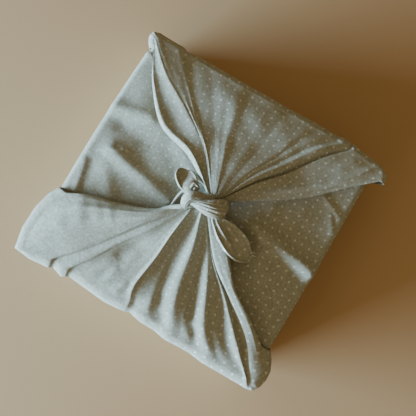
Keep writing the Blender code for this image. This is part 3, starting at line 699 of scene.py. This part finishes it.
def base_piece(material):
    """The flat base: rings of the rounded square from its middle to the walls' turn."""
    turn = np.linspace(0, 2 * np.pi, BASE_RAYS, endpoint=False)
    side = WALL - BASE_BEND + BASE_OVERLAP
    ray = np.stack([np.cos(turn), np.sin(turn)], axis=-1)
    reach = side / np.maximum(np.abs(ray).max(axis=1), BASE_CUT)
    share = np.linspace(BASE_INNER, 1, BASE_RINGS)[:, None, None]
    plan = ray * reach[:, None] * share
    grid = np.concatenate([plan, np.full(plan.shape[:2] + (1,), BASE_Z)], axis=-1)
    rows, columns = grid.shape[:2]
    outer = grid.reshape(-1, 3)
    inner = outer + (0, 0, CLOTH)
    quads = grid_quads(rows, columns, closed=True)
    total = len(outer)
    rim = np.arange(total - columns, total)
    after = np.roll(rim, -1)
    strip = np.column_stack([rim, after, after + total, rim + total])
    faces = quads.tolist() + (quads[:, ::-1] + total).tolist() + strip.tolist()
    faces += [np.arange(columns).tolist(), (np.arange(columns) + total)[::-1].tolist()]
    points = np.concatenate([outer, inner])
    return new_piece("base_cloth", points, faces, material, points[:, :2])


def through_places(table):
    """A smooth curve through the rows of a table, with equal steps from row to row."""
    count = len(table)
    return spline_weights(np.linspace(0, 1, (count - 1) * STEPS_A_PLACE + 1), count) @ table


def frame_along(path, outwards):
    """Two directions across a path: one to its side and one outwards."""
    ahead = np.gradient(path, axis=0)
    ahead /= np.linalg.norm(ahead, axis=1, keepdims=True)
    lift = outwards - (outwards * ahead).sum(1, keepdims=True) * ahead
    lift /= np.linalg.norm(lift, axis=1, keepdims=True)
    return np.cross(lift, ahead), lift


def strand_piece(name, table, creases, twist, material):
    """A gathered strand: a rounded oval carried along its places, with creases along it.

    The oval's radius has a narrow trough at each crease's angle, which turns by the twist from
    end to end. Two weak sines round the oval make it uneven, and a square root closes its ends.
    """
    rows = through_places(table)
    path = rows[:, :3]
    side, lift = frame_along(path, path - HEART)
    turn = np.linspace(0, 2 * np.pi, STRAND_SIDES, endpoint=False)
    part = np.linspace(0, 1, len(rows))[:, None]
    shape = np.ones((len(rows), STRAND_SIDES))
    for angle, width, depth in creases:
        away = np.angle(np.exp(1j * (turn - angle - twist * part)))
        fade = smooth(part * CREASE_GROWTH + CREASE_START)
        shape -= depth * np.exp(-((away / width) ** 2)) * fade
    waves = 1
    for height, around, along in OVAL_WAVES:
        waves = waves + height * np.sin(around * turn + along * part)
    shape *= waves
    shape *= np.sqrt(np.clip(np.minimum(part, 1 - part) * END_GROWTH + END_LEAST, 0, 1))
    across = (rows[:, 3:4] * np.cos(turn) * shape)[..., None] * side[:, None]
    above = (rows[:, 4:5] * np.sin(turn) * shape)[..., None] * lift[:, None]
    grid = path[:, None] + across + above
    points = grid.reshape(-1, 3)
    faces = grid_quads(len(rows), STRAND_SIDES, closed=True).tolist()
    last = np.arange(len(points) - STRAND_SIDES, len(points))
    faces += [np.arange(STRAND_SIDES)[::-1].tolist(), last.tolist()]
    cloth = np.broadcast_arrays(part * STRAND_LENGTH, turn * STRAND_RADIUS)
    uv = np.stack(cloth, axis=-1).reshape(-1, 2)
    return new_piece(name, points, faces, material, uv)


def leaf_grid(table, lit_side):
    """A tail's upper face: across its leaf, two raised rims, a belly between them and one ridge.

    Each rim is a bump exp(-(distance / reach)^2) near its edge. The belly is one less the share
    across squared. The ridge is such a bump too, wide on the side of the light and narrow behind.
    """
    rows = through_places(table)
    path = rows[:, :3]
    side, lift = frame_along(path, np.broadcast_to((0.0, 0.0, 1.0), path.shape))
    step = np.sin(np.linspace(-np.pi / 2, np.pi / 2, TAIL_COLUMNS))
    part = np.linspace(0, 1, len(rows))[:, None]
    out = lit_side * step
    lit, dim, belly, place, ridge = (rows[:, k:k + 1] for k in range(4, 9))
    height = lit * np.exp(-(((out - LIT_RIM) / LIT_RIM_REACH) ** 2))
    height = height + dim * np.exp(-(((out - DIM_RIM) / DIM_RIM_REACH) ** 2))
    height = height + belly * (1 - out**2)
    reach = np.where(out > place, RIDGE_LIT_REACH, RIDGE_DIM_REACH)
    height = height + ridge * np.exp(-(((out - place) / reach) ** 2))
    sideways = rows[:, 3:4] * step
    grid = path[:, None] + sideways[..., None] * side[:, None] + height[..., None] * lift[:, None]
    ways = np.broadcast_to(lift[:, None], grid.shape)
    uv = np.stack(np.broadcast_arrays(part * STRAND_LENGTH, sideways), axis=-1).reshape(-1, 2)
    return grid, ways, np.full(grid.shape[:2], CLOTH), uv


def node(tree, kind, **values):
    """A shader node with plain settings, and values for its inputs by name."""
    made = tree.nodes.new(kind)
    for name, value in values.items():
        if hasattr(made, name):
            setattr(made, name, value)
        else:
            made.inputs[name.replace("_", " ").title()].default_value = value
    return made


def math_node(tree, operation, first, second=None):
    """A math node of one or two values, each a socket or a number."""
    made = tree.nodes.new("ShaderNodeMath")
    made.operation = operation
    for socket, value in zip(made.inputs, (first, second)):
        if value is None:
            continue
        if isinstance(value, bpy.types.NodeSocket):
            tree.links.new(value, socket)
        else:
            socket.default_value = value
    return made.outputs[0]


def dots_group():
    """A mask of round dots: how near a place is to the middle of its cell of the lattice."""
    tree = bpy.data.node_groups.new("printed dots", "ShaderNodeTree")
    tree.interface.new_socket("Place", in_out="INPUT", socket_type="NodeSocketVector")
    tree.interface.new_socket("Mask", in_out="OUTPUT", socket_type="NodeSocketFloat")
    start = tree.nodes.new("NodeGroupInput")
    end = tree.nodes.new("NodeGroupOutput")
    split = tree.nodes.new("ShaderNodeSeparateXYZ")
    tree.links.new(start.outputs["Place"], split.inputs[0])
    noise = node(tree, "ShaderNodeTexNoise", Scale=0.05, Detail=1.0)
    tree.links.new(start.outputs["Place"], noise.inputs["Vector"])
    squares = []
    for axis, pitch in enumerate(DOT_PITCH):
        centred = math_node(tree, "SUBTRACT", noise.outputs["Fac"], 0.5)
        wander = math_node(tree, "MULTIPLY", centred, DOT_WANDER)
        place = math_node(tree, "ADD", split.outputs[axis], wander)
        cell = math_node(tree, "DIVIDE", place, pitch)
        away = math_node(tree, "SUBTRACT", math_node(tree, "FRACT", cell), 0.5)
        reach = math_node(tree, "MULTIPLY", away, pitch)
        squares.append(math_node(tree, "POWER", math_node(tree, "ABSOLUTE", reach), 2.0))
    distance = math_node(tree, "SQRT", math_node(tree, "ADD", *squares))
    ramp = node(tree, "ShaderNodeMapRange", interpolation_type="SMOOTHSTEP")
    ramp.inputs["From Min"].default_value = DOT_RADIUS + DOT_OUTER_EDGE
    ramp.inputs["From Max"].default_value = DOT_RADIUS - DOT_INNER_EDGE
    tree.links.new(distance, ramp.inputs["Value"])
    tree.links.new(ramp.outputs[0], end.inputs["Mask"])
    return tree


def weave_group():
    """Height of a plain weave: crossed waves of the threads, plus a fine nap and soft lint."""
    tree = bpy.data.node_groups.new("plain weave", "ShaderNodeTree")
    tree.interface.new_socket("Place", in_out="INPUT", socket_type="NodeSocketVector")
    tree.interface.new_socket("Height", in_out="OUTPUT", socket_type="NodeSocketFloat")
    start = tree.nodes.new("NodeGroupInput")
    end = tree.nodes.new("NodeGroupOutput")
    split = tree.nodes.new("ShaderNodeSeparateXYZ")
    tree.links.new(start.outputs["Place"], split.inputs[0])
    waves = []
    for axis in (0, 1):
        phase = math_node(tree, "MULTIPLY", split.outputs[axis], 2 * math.pi / THREAD)
        waves.append(math_node(tree, "SINE", phase))
    nap = node(tree, "ShaderNodeTexNoise", Scale=0.9, Detail=3.0)
    tree.links.new(start.outputs["Place"], nap.inputs["Vector"])
    crossed = math_node(tree, "MULTIPLY", *waves)
    lint = node(tree, "ShaderNodeTexNoise", Scale=0.38, Detail=2.0)
    tree.links.new(start.outputs["Place"], lint.inputs["Vector"])
    soft = math_node(tree, "MULTIPLY", lint.outputs["Fac"], LINT)
    fine = math_node(tree, "ADD", math_node(tree, "MULTIPLY", crossed, 0.5), nap.outputs["Fac"])
    height = math_node(tree, "ADD", fine, soft)
    tree.links.new(height, end.inputs["Height"])
    return tree


def print_lit_washout(tree):
    """The dots' strength: painted faint on the lit left as a painted highlight, and full from the
    knot to the right.
    """
    place = tree.nodes.new("ShaderNodeTexCoord")
    split = tree.nodes.new("ShaderNodeSeparateXYZ")
    tree.links.new(place.outputs["Object"], split.inputs[0])
    right = math_node(tree, "MULTIPLY", split.outputs["X"], PRINT_WAY[0])
    back = math_node(tree, "MULTIPLY", split.outputs["Y"], PRINT_WAY[1])
    ramp = node(tree, "ShaderNodeMapRange", interpolation_type="SMOOTHSTEP")
    ramp.inputs["From Min"].default_value = PRINT_FADES
    ramp.inputs["From Max"].default_value = PRINT_FULL
    ramp.inputs["To Min"].default_value = PRINT_FAINTEST
    ramp.inputs["To Max"].default_value = PRINT_STRONGEST
    tree.links.new(math_node(tree, "ADD", right, back), ramp.inputs["Value"])
    return ramp.outputs[0]


def color_mix(tree, factor, first, second):
    """A mix of two colours, each a socket or a fixed colour, by the factor's socket."""
    made = tree.nodes.new("ShaderNodeMix")
    made.data_type = "RGBA"
    for name, value in (("A", first), ("B", second)):
        if isinstance(value, bpy.types.NodeSocket):
            tree.links.new(value, made.inputs[name])
        else:
            made.inputs[name].default_value = (*value, 1)
    tree.links.new(factor, made.inputs["Factor"])
    return made.outputs["Result"]


def cloth_material():
    """Sage-grey cotton: pale dots, faint blotches, flecks and a fine weave."""
    material = bpy.data.materials.new("dotted cotton")
    material.use_nodes = True
    tree = material.node_tree
    shader = tree.nodes["Principled BSDF"]
    shader.inputs["Roughness"].default_value = 0.95
    shader.inputs["Specular IOR Level"].default_value = 0.25
    shader.inputs["Sheen Weight"].default_value = 0.12
    shader.inputs["Sheen Roughness"].default_value = 0.5
    place = tree.nodes.new("ShaderNodeUVMap")
    place.uv_map = "cloth"
    dots = node(tree, "ShaderNodeGroup", node_tree=dots_group())
    tree.links.new(place.outputs["UV"], dots.inputs["Place"])
    weave = node(tree, "ShaderNodeGroup", node_tree=weave_group())
    tree.links.new(place.outputs["UV"], weave.inputs["Place"])
    blotch = node(tree, "ShaderNodeTexNoise", Scale=0.09, Detail=4.0, Roughness=0.6)
    tree.links.new(place.outputs["UV"], blotch.inputs["Vector"])
    fleck = node(tree, "ShaderNodeTexNoise", Scale=0.42, Detail=3.0, Roughness=0.75)
    tree.links.new(place.outputs["UV"], fleck.inputs["Vector"])
    centred = math_node(tree, "SUBTRACT", fleck.outputs["Fac"], 0.5)
    spread = math_node(tree, "MULTIPLY", centred, FLECKS)
    mottle = math_node(tree, "ADD", blotch.outputs["Fac"], spread)
    ground = color_mix(tree, mottle, COTTON_DARK, COTTON_PALE)
    # painted highlight: the dots fade on the lit left, as if washed out by the light
    faded = math_node(tree, "MULTIPLY", dots.outputs["Mask"], print_lit_washout(tree))
    color = color_mix(tree, faded, ground, DOT_COLOR)
    tree.links.new(color, shader.inputs["Base Color"])
    bump = node(tree, "ShaderNodeBump", Strength=0.6, Distance=0.0007)
    tree.links.new(weave.outputs["Height"], bump.inputs["Height"])
    tree.links.new(bump.outputs["Normal"], shader.inputs["Normal"])
    return material


def card_material():
    """Plain brown card with a faint fibre grain."""
    material = bpy.data.materials.new("brown card")
    material.use_nodes = True
    tree = material.node_tree
    shader = tree.nodes["Principled BSDF"]
    shader.inputs["Roughness"].default_value = 0.8
    place = tree.nodes.new("ShaderNodeTexCoord")
    grain = node(tree, "ShaderNodeTexNoise", Scale=900.0, Detail=3.0)
    tree.links.new(place.outputs["Object"], grain.inputs["Vector"])
    color = color_mix(tree, grain.outputs["Fac"], CARD_DARK, CARD_PALE)
    tree.links.new(color, shader.inputs["Base Color"])
    return material


def make_cloth():
    """All pieces of the wrapped cloth, each in the place of its part of the solid."""
    cotton = cloth_material()
    pieces = {}
    fans = (("front_fan", FRONT_FOLDS, 1, 11), ("back_fan", BACK_FOLDS, -1, 21))
    for name, folds, turn, seed in fans:
        grid, ways, thickness = fan_grid(folds, FAN_BENDS[name], seed)
        pieces[name] = sheet_piece(name, grid, ways, thickness, fan_uv(grid, turn), cotton)
    for name, panel, seed in (("left_panel", LEFT_PANEL, 31), ("right_panel", RIGHT_PANEL, 41)):
        grid, ways, thickness = panel_grid(panel, seed)
        pieces[name] = sheet_piece(name, grid, ways, thickness, panel_uv(grid), cotton)
    pieces["base_cloth"] = base_piece(cotton)
    for name, table, lit_side in (("back_tail", BACK_TAIL, 1), ("front_tail", FRONT_TAIL, -1)):
        grid, ways, thickness, uv = leaf_grid(table, lit_side)
        pieces[name] = sheet_piece(name, grid, ways, thickness, uv, cotton)
    strands = [strand_piece(name, *values, cotton) for name, values in STRANDS.items()]
    for piece in list(pieces.values()) + strands:
        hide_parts("wrap")
    return pieces, strands


def make_stage():
    """A plain pale floor below the parcel."""
    mesh = bpy.data.meshes.new("floor")
    corners = FLOOR_REACH * np.array([(-1, -1, 0), (1, -1, 0), (1, 1, 0), (-1, 1, 0)])
    mesh.from_pydata(corners.tolist(), [], [(0, 1, 2, 3)])
    material = bpy.data.materials.new("pale floor")
    material.use_nodes = True
    shader = material.node_tree.nodes["Principled BSDF"]
    shader.inputs["Base Color"].default_value = (*FLOOR_COLOR, 1)
    shader.inputs["Roughness"].default_value = 0.8
    mesh.materials.append(material)
    floor = bpy.data.objects.new("floor", mesh)
    bpy.context.scene.collection.objects.link(floor)


def area_light(name, place, size, power, color):
    """A soft oblong light that faces the parcel's top."""
    light = bpy.data.lights.new(name, "AREA")
    light.shape = "RECTANGLE"
    light.size, light.size_y = size
    light.energy = power
    light.color = color
    obj = bpy.data.objects.new(name, light)
    obj.location = place
    aim = np.array(LIGHTS_AIM) - np.array(place)
    obj.rotation_mode = "QUATERNION"
    obj.rotation_quaternion = Vector(aim.tolist()).to_track_quat("-Z", "Y")
    bpy.context.scene.collection.objects.link(obj)


def make_lights():
    """A low cool light from the image's left, a weak front fill, and a weak warm room."""
    turn = math.radians(VIEW_TURN)
    right = np.array((math.cos(turn), math.sin(turn), 0))
    up = np.array((-math.sin(turn), math.cos(turn), 0))
    for name, (rightwards, upwards, height, size, power, color) in LIGHTS.items():
        place = rightwards * right + upwards * up + np.array((0, 0, height))
        area_light(name, tuple(place), size, power, color)
    world = bpy.data.worlds.new("room")
    world.use_nodes = True
    back = world.node_tree.nodes["Background"]
    back.inputs["Color"].default_value = (*ROOM_COLOR, 1)
    back.inputs["Strength"].default_value = ROOM_STRENGTH
    bpy.context.scene.world = world


def make_camera():
    """A camera straight above the parcel's top, turned as in the photograph."""
    data = bpy.data.cameras.new("camera")
    data.sensor_fit = "HORIZONTAL"
    data.angle = 2 * math.atan(VIEW_WIDTH / 2 / CAMERA_HEIGHT)
    camera = bpy.data.objects.new("camera", data)
    camera.location = (*VIEW_MIDDLE, PANEL_Z * MM + CAMERA_HEIGHT)
    camera.rotation_euler = (0, 0, math.radians(VIEW_TURN))
    bpy.context.scene.collection.objects.link(camera)
    bpy.context.scene.camera = camera


make_camera()
make_lights()
make_stage()
cloth_pieces, knot_strands = make_cloth()
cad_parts["box"].data.materials.clear()
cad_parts["box"].data.materials.append(card_material())
